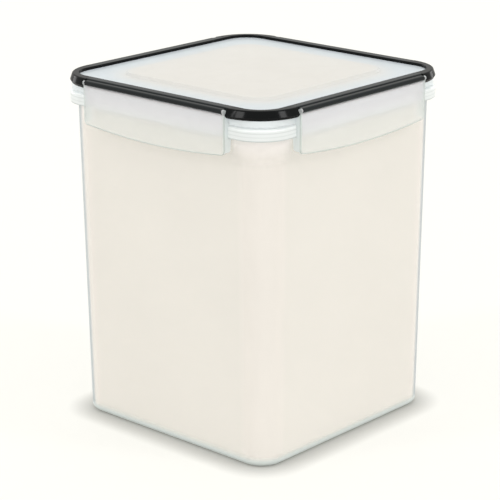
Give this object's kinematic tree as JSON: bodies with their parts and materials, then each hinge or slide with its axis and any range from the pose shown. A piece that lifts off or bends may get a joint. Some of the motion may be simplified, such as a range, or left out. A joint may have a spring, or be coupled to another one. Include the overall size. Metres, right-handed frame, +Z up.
{
  "type": "food storage container",
  "caption": "Tall square translucent container with tapered walls, a sealed clear lid in a dark frame, and hinged snap flaps that hook under its rim.",
  "frame": {"origin": "centre of the base, on the surface the container stands on", "axes": "+Z up through the lid, -Y out of the front flap, +X out of the right flap"},
  "size_m": [0.199, 0.199, 0.2452],
  "materials": {
    "milky_tub": "milky translucent polypropylene, smooth",
    "clear_lid": "clear polypropylene with a faint haze",
    "clear_flap": "clear polypropylene with a faint haze",
    "dark_frame": "black polypropylene, satin",
    "soft_seal": "pale silicone, matt"
  },
  "bodies": {
    "container": {"container_body": "milky_tub"},
    "lid": {"lid_panel": "clear_lid", "lid_frame": "dark_frame", "seal_ring": "soft_seal"},
    "front_flap": {"front_flap": "clear_flap"},
    "right_flap": {"right_flap": "clear_flap"},
    "back_flap": {"back_flap": "clear_flap"},
    "left_flap": {"left_flap": "clear_flap"}
  },
  "joints": [
    {"name": "lid_lift", "type": "slide", "parent": "container", "child": "lid", "axis": [0, 0, 1], "range_m": [0, 0.06]},
    {"name": "front_flap_hinge", "type": "hinge", "parent": "lid", "child": "front_flap", "pos_m": [0, -0.098, 0.2428], "axis": [-1, 0, 0], "range_deg": [-5, 135]},
    {"name": "right_flap_hinge", "type": "hinge", "parent": "lid", "child": "right_flap", "pos_m": [0.098, 0, 0.2428], "axis": [0, -1, 0], "range_deg": [-5, 135]},
    {"name": "back_flap_hinge", "type": "hinge", "parent": "lid", "child": "back_flap", "pos_m": [0, 0.098, 0.2428], "axis": [1, 0, 0], "range_deg": [-5, 135]},
    {"name": "left_flap_hinge", "type": "hinge", "parent": "lid", "child": "left_flap", "pos_m": [-0.098, 0, 0.2428], "axis": [0, 1, 0], "range_deg": [-5, 135]}
  ]
}
